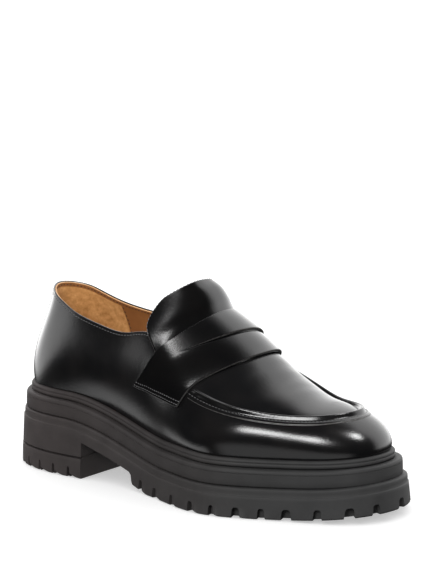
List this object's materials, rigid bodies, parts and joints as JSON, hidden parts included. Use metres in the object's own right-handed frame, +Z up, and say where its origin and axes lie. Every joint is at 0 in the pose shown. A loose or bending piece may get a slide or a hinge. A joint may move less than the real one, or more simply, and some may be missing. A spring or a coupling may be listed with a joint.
{
  "type": "block heel loafer",
  "caption": "Right loafer in polished leather with a saddle strap, standing tongue and raised apron seam, lined inside, on a thick lugged sole with a block heel.",
  "frame": {"origin": "centre of the sole's outline in plan, on the floor", "axes": "+X towards the toe, +Y towards the inner side of the foot, +Z up"},
  "size_m": [0.274, 0.1043, 0.1282],
  "materials": {
    "sole_rubber": "matte moulded rubber",
    "black_leather": "polished, glossy",
    "tan_leather": "smooth lining leather"
  },
  "bodies": {
    "root": {"outsole": "sole_rubber", "heel_top_lift": "sole_rubber", "midsole": "sole_rubber", "welt": "sole_rubber", "insole": "tan_leather", "upper": "black_leather", "tongue": "black_leather", "strap": "black_leather"}
  },
  "joints": []
}
